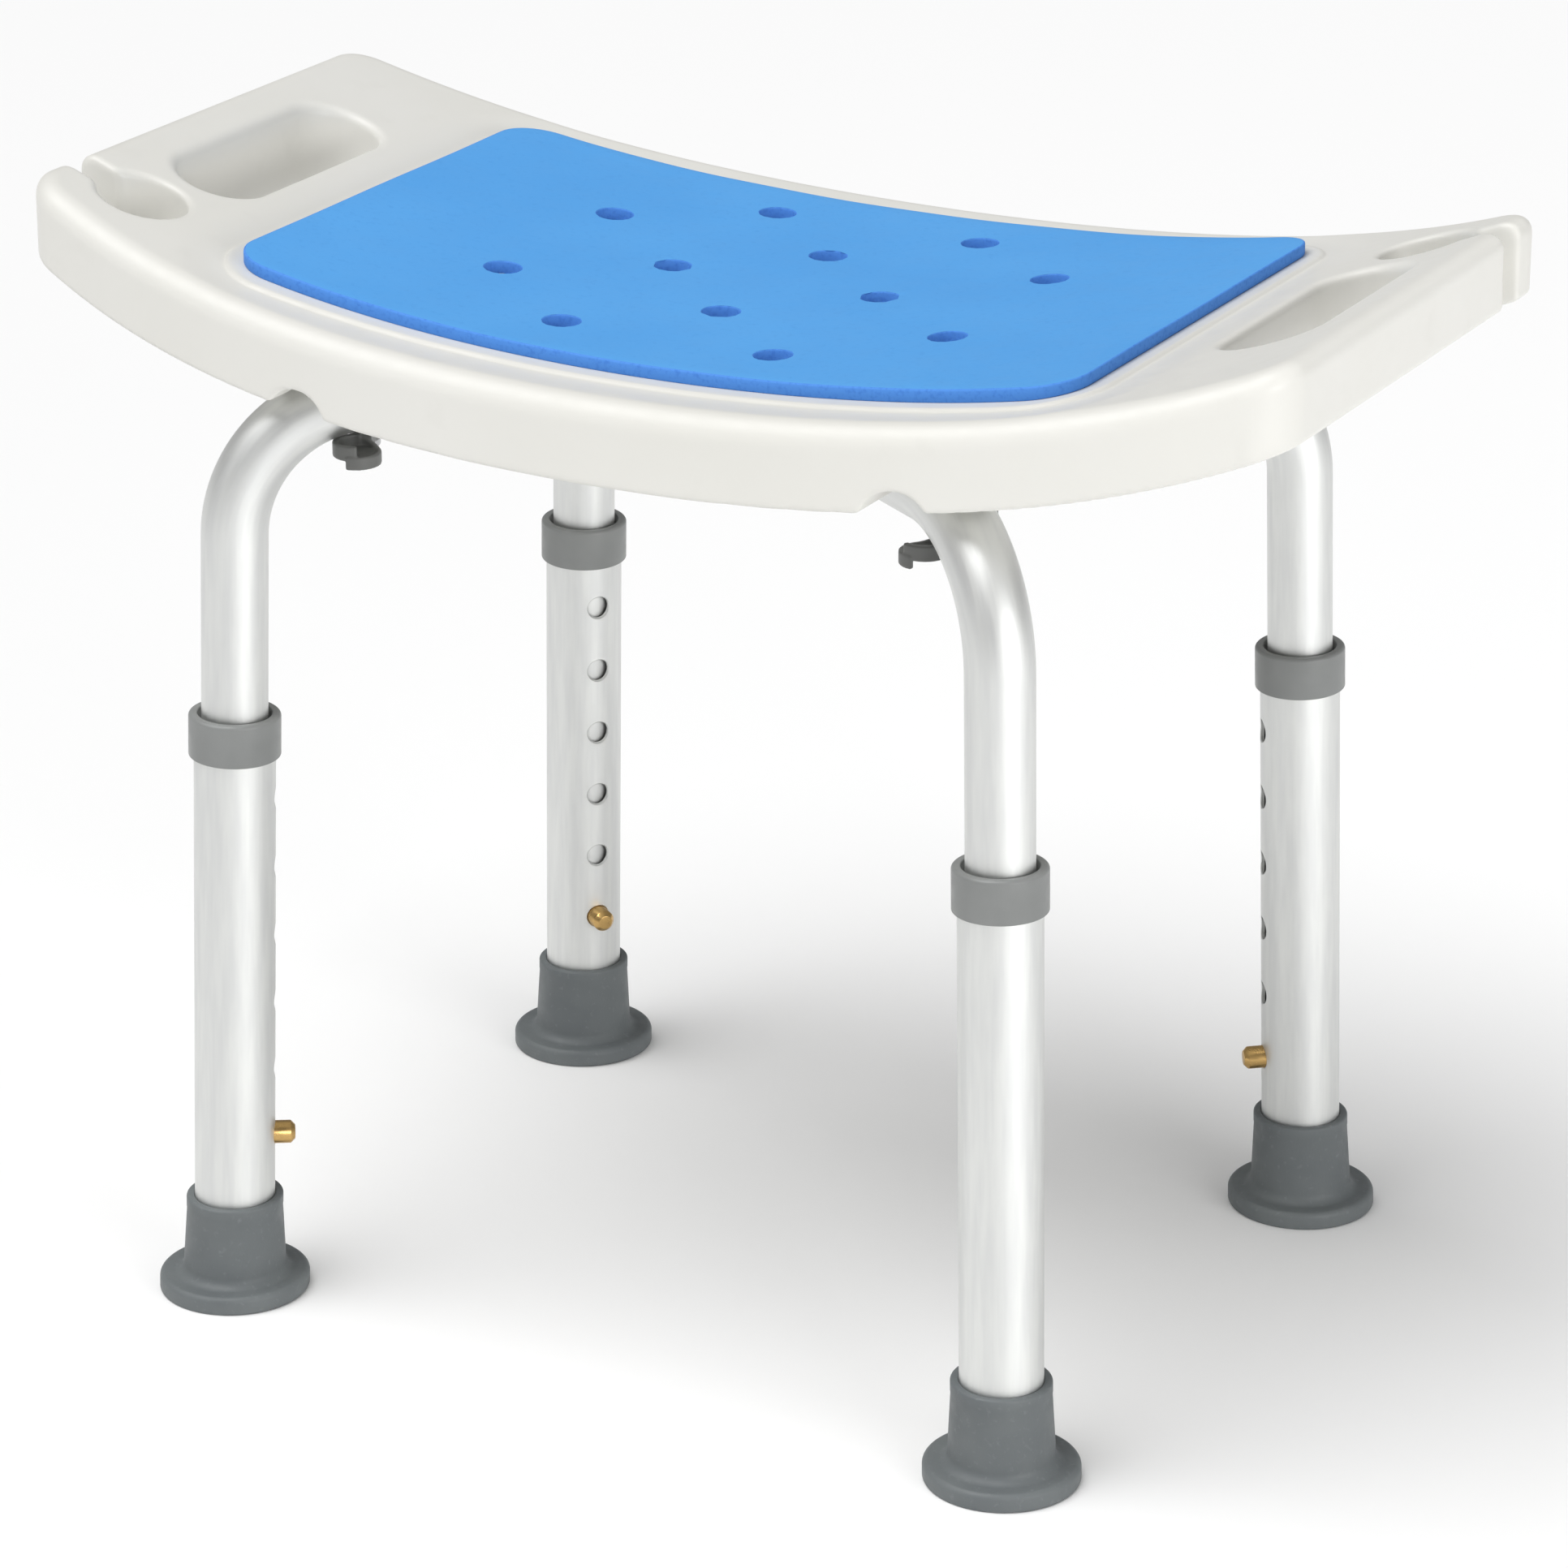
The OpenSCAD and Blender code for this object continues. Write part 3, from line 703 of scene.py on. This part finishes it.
def wrapped(r, hole_r, rows):
    """One skin of the lower tube, unrolled: points, triangles and each hole's first point."""
    around = turns(HOLE_SIDES)
    rings = [[(r * math.asin(hole_r * math.cos(a) / r), s + hole_r * math.sin(a))
              for a in around] for s in HOLE_HEIGHTS]
    edge = math.pi * r
    us = np.linspace(-edge, edge, LOWER_SIDES + 1)
    border = [(u, rows[0]) for u in us[:-1]] + [(edge, s) for s in rows[:-1]]
    border += [(u, rows[-1]) for u in us[:0:-1]] + [(-edge, s) for s in rows[:0:-1]]
    inside = [(u, s) for u in us[1:-1] for s in rows[1:-1]
              if min(math.hypot(u, s - h) for h in HOLE_HEIGHTS) > hole_r + HOLE_MARGIN]
    points = border + [p for ring in rings for p in ring] + inside
    keep = []
    for tri in cap([border] + rings, inside, False):
        u, s = np.mean([points[v] for v in tri], axis=0)
        nearest = min(math.hypot(r * math.sin(u / r), s - h) for h in HOLE_HEIGHTS)
        if abs(u) > 3 * hole_r or nearest > hole_r:
            keep.append(tri)
    return points, keep, [len(border) + n * HOLE_SIDES for n in range(HOLE_COUNT)]


def add_skin(points, faces, r, hole_r, rows, inward):
    """Rolls one skin up and adds it; gives each hole's first point."""
    flat, tris, starts = wrapped(r, hole_r, rows)
    base = len(points)
    points += [(r * math.cos(u / r), r * math.sin(u / r), s) for u, s in flat]
    faces += [[base + v for v in (t[::-1] if inward else t)] for t in tris]
    return [base + s for s in starts]


def add_sinks(points):
    """Adds the rings where the holes' countersinks end; gives each ring's first point."""
    r = LOWER_R - HOLE_SINK
    starts = []
    for s in HOLE_HEIGHTS:
        starts.append(len(points))
        for a in turns(HOLE_SIDES):
            y = HOLE_R * math.cos(a)
            points.append((math.sqrt(r**2 - y**2), y, s + HOLE_R * math.sin(a)))
    return starts


def end_ring(points, s):
    """Quads that close the wall of the lower tube at one end."""
    rings = []
    for r in (LOWER_R, LOWER_R - LOWER_WALL):
        found = {}
        for i, p in enumerate(points):
            if abs(p[2] - s) < 1e-6 and abs(math.hypot(p[0], p[1]) - r) < 1e-3:
                found[round(math.atan2(p[1], p[0]) / math.tau * LOWER_SIDES) % LOWER_SIDES] = i
        rings.append([found[k] for k in range(LOWER_SIDES)])
    outer, inner = rings
    faces = []
    for k in range(LOWER_SIDES):
        j = (k + 1) % LOWER_SIDES
        quad = [outer[k], outer[j], inner[j], inner[k]]
        faces.append(quad if s == LOWER_TO else quad[::-1])
    return faces


def weld(points, faces):
    """Joins points at the same place."""
    points = np.array(points)
    _, first, same = np.unique(np.round(points, 4), axis=0, return_index=True,
                               return_inverse=True)
    same = same.ravel()
    return points[first], [[same[v] for v in f] for f in faces]


def make_lower_tube(corner):
    """A tube with a row of countersunk height holes on its inner side."""
    rows = list(np.arange(LOWER_FROM, LOWER_TO - 4, ROW_STEP)) + [LOWER_TO]
    points, faces = [], []
    outer = add_skin(points, faces, LOWER_R, HOLE_R + HOLE_SINK, rows, False)
    sunk = add_sinks(points)
    inner = add_skin(points, faces, LOWER_R - LOWER_WALL, HOLE_R, rows, True)
    for first, second in ((outer, sunk), (sunk, inner)):
        for p, q in zip(first, second):
            for i in range(HOLE_SIDES):
                j = (i + 1) % HOLE_SIDES
                faces.append([p + j, p + i, q + i, q + j])
    for s in (LOWER_FROM, LOWER_TO):
        faces += end_ring(points, s)
    welded, faces = weld(points, faces)
    obj = piece("lower_tube_piece_" + corner, on_leg(welded, corner), faces, "leg_" + corner,
                [TUBE], ["lower_tube_" + corner], sharp=20)
    store(obj, "drawn", welded / 10)


# ---- collars, feet and buttons ----------------------------------------------------------

def make_collar(corner):
    """A ring round the top of the lower tube, with a sleeve down inside it."""
    bore, clear = UPPER_R + SLEEVE_GAP, 0.02
    sleeve, shoulder = LOWER_R - LOWER_WALL - clear, LOWER_R + clear
    profile = [(bore, SLEEVE_FROM + 0.2), (bore + 0.3, SLEEVE_FROM), (sleeve, SLEEVE_FROM),
               (sleeve, LOWER_TO), (shoulder, LOWER_TO), (shoulder, COLLAR_FROM)]
    profile += arc(COLLAR_R - 0.6, COLLAR_FROM + 0.6, 0.6, -90, 0, 4)
    profile += arc(COLLAR_R - 1.3, COLLAR_TO - 1.3, 1.3, 0, 90, 6)
    profile += arc(bore + 1.7, COLLAR_TO - 0.5, 0.5, 90, 180, 4)
    profile += [(bore + 0.9, COLLAR_TO - 1.6), (bore, COLLAR_TO - 3.0)]
    points, faces = lathe(profile)
    piece("collar_piece_" + corner, on_leg(points, corner), faces, "leg_" + corner,
          [COLLAR], ["collar_" + corner], sharp=50)


def make_foot(corner):
    """A rubber ferrule: ringed tread, flange with a soft edge, fillet and tapered sleeve."""
    tread = []
    for r in TREAD_RINGS:
        tread += [(r - 0.9, 0), (r - 0.6, TREAD_DEPTH), (r + 0.6, TREAD_DEPTH), (r + 0.9, 0)]
    profile = [(0, 0), (3, 0)] + tread
    profile += arc(FOOT_R - 1.0, 1.0, 1.0, -90, 0, 5)
    profile += arc(FOOT_R - 2.0, FLANGE_H - 2.0, 2.0, 0, 90, 8)
    profile += arc(FOOT_WAIST_R + FOOT_FILLET, FLANGE_H + FOOT_FILLET, FOOT_FILLET, -90, -180, 8)
    top = FOOT_TOP_R
    profile += [(top + 0.35, FOOT_H - 4.4), (top + 0.5, FOOT_H - 4.1), (top + 0.5, FOOT_H - 1.2)]
    profile += arc(top - 0.4, FOOT_H - 0.9, 0.9, 0, 90, 5)
    profile += arc(LOWER_R + 0.75, FOOT_H - 0.7, 0.7, 90, 180, 4)
    profile += [(LOWER_R + 0.05, LOWER_FROM + 0.2), (0, LOWER_FROM)]
    points, faces = lathe(profile, 112)
    points[:, 0] += points[:, 2] * math.tan(SPLAY)
    piece("foot_piece_" + corner, upright_at(points, corner), faces, "leg_" + corner,
          [RUBBER], ["foot_" + corner], sharp=40)


def make_button(corner):
    """A turned brass pin with a chamfered end and a flange inside the tube."""
    tip = BUTTON_TIP
    flange, low, high = BUTTON_FLANGE_R, BUTTON_FROM, BUTTON_FLANGE_TO
    profile = [(0, low), (flange - 0.1, low), (flange, low + 0.2), (flange, high - 0.2),
               (flange - 0.2, high), (BUTTON_R, high), (BUTTON_R, tip - 1.75),
               (BUTTON_R - 0.12, tip - 1.45), (BUTTON_R - 1.25, tip - 0.3)]
    profile += arc(BUTTON_R - 1.7, tip - 0.45, 0.45, 30, 90, 3) + [(0, tip)]
    points, faces = lathe(profile, 64)
    turned = np.stack([points[:, 2], points[:, 1], LOWEST_HOLE - points[:, 0]], 1)
    piece("button_piece_" + corner, on_leg(turned, corner), faces, "button_" + corner,
          [BRASS], ["snap_button_" + corner], sharp=40)


# ---- latches ----------------------------------------------------------------------------

def curled(x, y, z, radius, low, height, centre, half):
    """A stretch of upright band round the hook's centre, with rounded ends."""
    angle = (np.degrees(np.arctan2(y, x)) - centre + 180) % 360 - 180
    wall = np.abs(np.hypot(x, y) - radius) - LATCH["hook_t"] / 2
    band = round_and(wall, np.abs(z - low - height / 2) - height / 2, 0.6)
    return round_and(band, (np.abs(angle) - half) * math.radians(radius), 0.7)


def latch_field(x, y, z):
    """Hub, arm and curled hook, about the latch's own screw, with the arm along -Y."""
    low, arm_t = LATCH["low"], LATCH["arm_t"]
    middle, half = (LATCH["top"] + low) / 2, (LATCH["top"] - low) / 2
    hub = round_and(np.hypot(x, y) - LATCH["hub_r"], np.abs(z - middle) - half, 0.8)
    hook_mid = LATCH["hook_r"] - LATCH["hook_t"] / 2
    across = round_and(np.abs(x) - LATCH["arm_w"] / 2,
                       np.maximum(hook_mid - LATCH["reach"] - y, y), 0.6)
    level = np.abs(z - low - arm_t / 2) - arm_t / 2
    body = round_or(hub, round_and(across, level, 0.9), 2.0)
    hook_y = y + LATCH["reach"]
    around = np.degrees(np.arctan2(hook_y, x))
    step = LATCH["step"]
    rise = (LATCH["back_low"] - LATCH["finger_low"]) * smoothstep(*LATCH["rise_arc"], around)
    finger = curled(x, hook_y, z, hook_mid, LATCH["finger_low"] + rise, LATCH["finger_h"],
                    *LATCH["finger_arc"])
    back = curled(x, hook_y, z, hook_mid - step, LATCH["back_low"], arm_t - step,
                  *LATCH["back_arc"])
    web = round_and(np.hypot(x, hook_y) - hook_mid,
                    np.abs(z - LATCH["back_low"] - LATCH["web_t"] / 2) - LATCH["web_t"] / 2, 0.3)
    hook = round_or(round_or(finger, back, 0.5), web, 0.5)
    return round_cut(round_or(body, hook, 1.0), np.hypot(x, y) - LATCH["bore_r"], 0.4)


def make_latches():
    """One latch mesh, turned to its rest angle and set beside each leg."""
    r = LATCH["hook_r"] + 1
    points, faces = surface_of(latch_field, (-r, -LATCH["reach"] - r, LATCH["finger_low"]),
                               (r, LATCH["hub_r"], LATCH["top"]), LATCH_MESH_STEP)
    x, y, z = points.T
    c, s = math.cos(LATCH["turn"]), math.sin(LATCH["turn"])
    points = np.stack([LATCH["x"] + x * c - y * s, LATCH["y"] + x * s + y * c, z], 1)
    for corner in CORNERS:
        piece("leg_latch_piece_" + corner, upright_at(points, corner, handed=True),
              flipped([tuple(f) for f in faces], corner), "latch_" + corner,
              [NYLON], ["leg_latch_" + corner], sharp=60)


def dress_cad_nodes():
    """The hidden hardware keeps its CAD mesh, with eased edges and its own material."""
    for name, obj in frame["nodes"].items():
        look = next((m for key, m in CAD_LOOKS.items() if name.startswith(key)), None)
        if look is None or obj.hide_render:
            continue
        obj.data.materials.clear()
        obj.data.materials.append(look)
        bevel = obj.modifiers.new("eased edges", "BEVEL")
        bevel.width = 0.25 * MM
        bevel.segments = 2
        bevel.limit_method = "ANGLE"
        bevel.angle_limit = math.radians(40)


# ---- studio -----------------------------------------------------------------------------

def make_floor():
    bpy.ops.mesh.primitive_plane_add(size=30, location=(0, 0, CAD_LOW.z))
    floor = bpy.context.object
    floor.name = "studio_floor"
    paint = bpy.data.materials.new("studio_floor")
    paint.use_nodes = True
    shader = paint.node_tree.nodes["Principled BSDF"]
    shader.inputs["Base Color"].default_value = (0.94, 0.94, 0.94, 1)
    shader.inputs["Roughness"].default_value = 0.9
    floor.data.materials.append(paint)


def area_light(name, place, target, size, power):
    data = bpy.data.lights.new(name, "AREA")
    data.shape = "RECTANGLE"
    data.size, data.size_y = size
    data.energy = power
    light = bpy.data.objects.new(name, data)
    bpy.context.scene.collection.objects.link(light)
    light.location = place
    aim = Vector(target) - Vector(place)
    light.rotation_euler = aim.to_track_quat("-Z", "Y").to_euler()


def make_studio():
    world = bpy.data.worlds.new("studio")
    bpy.context.scene.world = world
    world.use_nodes = True
    world.node_tree.nodes["Background"].inputs["Color"].default_value = (1, 1, 1, 1)
    world.node_tree.nodes["Background"].inputs["Strength"].default_value = 0.32
    middle = (0, 0, 0.25)
    area_light("key", (-1.9, -2.4, 2.3), middle, (3.0, 3.0), 2)
    area_light("right", (2.8, -1.2, 0.7), middle, (2.0, 1.2), 40)
    sky = bpy.data.lights.new("sky", "SUN")
    sky.energy = 2.38
    sky.angle = math.radians(50)
    light = bpy.data.objects.new("sky", sky)
    bpy.context.scene.collection.objects.link(light)
    light.rotation_euler = Vector((-0.25, -0.33, 0.9)).to_track_quat("Z", "Y").to_euler()


def make_camera():
    data = bpy.data.cameras.new("camera")
    data.sensor_width = 36
    data.lens = 134.66
    camera = bpy.data.objects.new("camera", data)
    bpy.context.scene.collection.objects.link(camera)
    camera.location = (0.9195, -1.6846, 0.922)
    camera.rotation_euler = (math.radians(68.79), 0, math.radians(28.54))
    bpy.context.scene.camera = camera
    bpy.context.scene.view_settings.view_transform = "Standard"


make_camera()
make_studio()
make_floor()
make_seat()
make_pad()
make_latches()
for corner in CORNERS:
    make_upper_tube(corner)
    make_lower_tube(corner)
    make_collar(corner)
    make_foot(corner)
    make_button(corner)
dress_cad_nodes()
